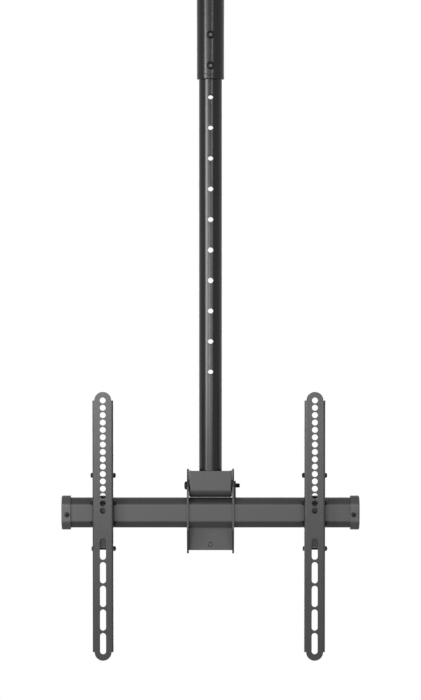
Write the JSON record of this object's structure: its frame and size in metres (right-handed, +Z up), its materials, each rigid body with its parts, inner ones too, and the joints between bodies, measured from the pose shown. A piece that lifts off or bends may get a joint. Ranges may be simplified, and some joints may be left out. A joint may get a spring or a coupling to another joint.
{
  "type": "tv ceiling mount",
  "caption": "Telescopic TV ceiling mount: tube and perforated pole, tilting folded head, eight-sided crossbar and sliding perforated TV arms.",
  "frame": {"origin": "centre of the ceiling plate's upper face, where it meets the ceiling", "axes": "+Z up along the pole axis, +X to the right along the crossbar, -Y towards the television"},
  "size_m": [0.4884, 0.15, 1.6261],
  "materials": {
    "powder_coat": "satin charcoal powder coat on folded steel",
    "tube_coat": "smooth satin black coat on steel tube",
    "black_plastic": "moulded charcoal plastic",
    "black_fastener": "black plated steel fasteners"
  },
  "bodies": {
    "ceiling_tube": {"ceiling_plate": "powder_coat", "socket_bolts": "black_fastener", "socket_nuts": "black_fastener", "outer_tube": "tube_coat", "tube_end_bushing": "black_plastic", "height_bolts": "black_fastener"},
    "pole": {"inner_pole": "tube_coat", "pole_top_glide": "black_plastic", "pole_foot": "powder_coat"},
    "head": {"head_bracket": "powder_coat", "tilt_bolt": "black_fastener", "tilt_nut_plate": "powder_coat", "tilt_washers": "black_fastener", "panel_rivet": "powder_coat", "crossbar": "powder_coat", "end_cap_left": "black_plastic", "end_cap_right": "black_plastic", "end_cap_screws": "black_fastener"},
    "left_arm": {"tv_arm_left": "powder_coat", "hook_bracket_left": "powder_coat", "arm_screws_left": "black_fastener", "cross_bolt_left": "black_fastener", "cross_nut_left": "black_fastener"},
    "right_arm": {"tv_arm_right": "powder_coat", "hook_bracket_right": "powder_coat", "arm_screws_right": "black_fastener", "cross_bolt_right": "black_fastener", "cross_nut_right": "black_fastener"}
  },
  "joints": [
    {"name": "height_slide", "type": "slide", "parent": "ceiling_tube", "child": "pole", "axis": [0, 0, 1], "range_m": [0, 0.5]},
    {"name": "head_tilt", "type": "hinge", "parent": "pole", "child": "head", "pos_m": [0, 0, -1.3431], "axis": [1, 0, 0], "range_deg": [-5, 15]},
    {"name": "left_arm_slide", "type": "slide", "parent": "head", "child": "left_arm", "axis": [1, 0, 0], "range_m": [-0.0247, 0.0753]},
    {"name": "right_arm_slide", "type": "slide", "parent": "head", "child": "right_arm", "axis": [1, 0, 0], "range_m": [-0.0699, 0.0301]}
  ]
}
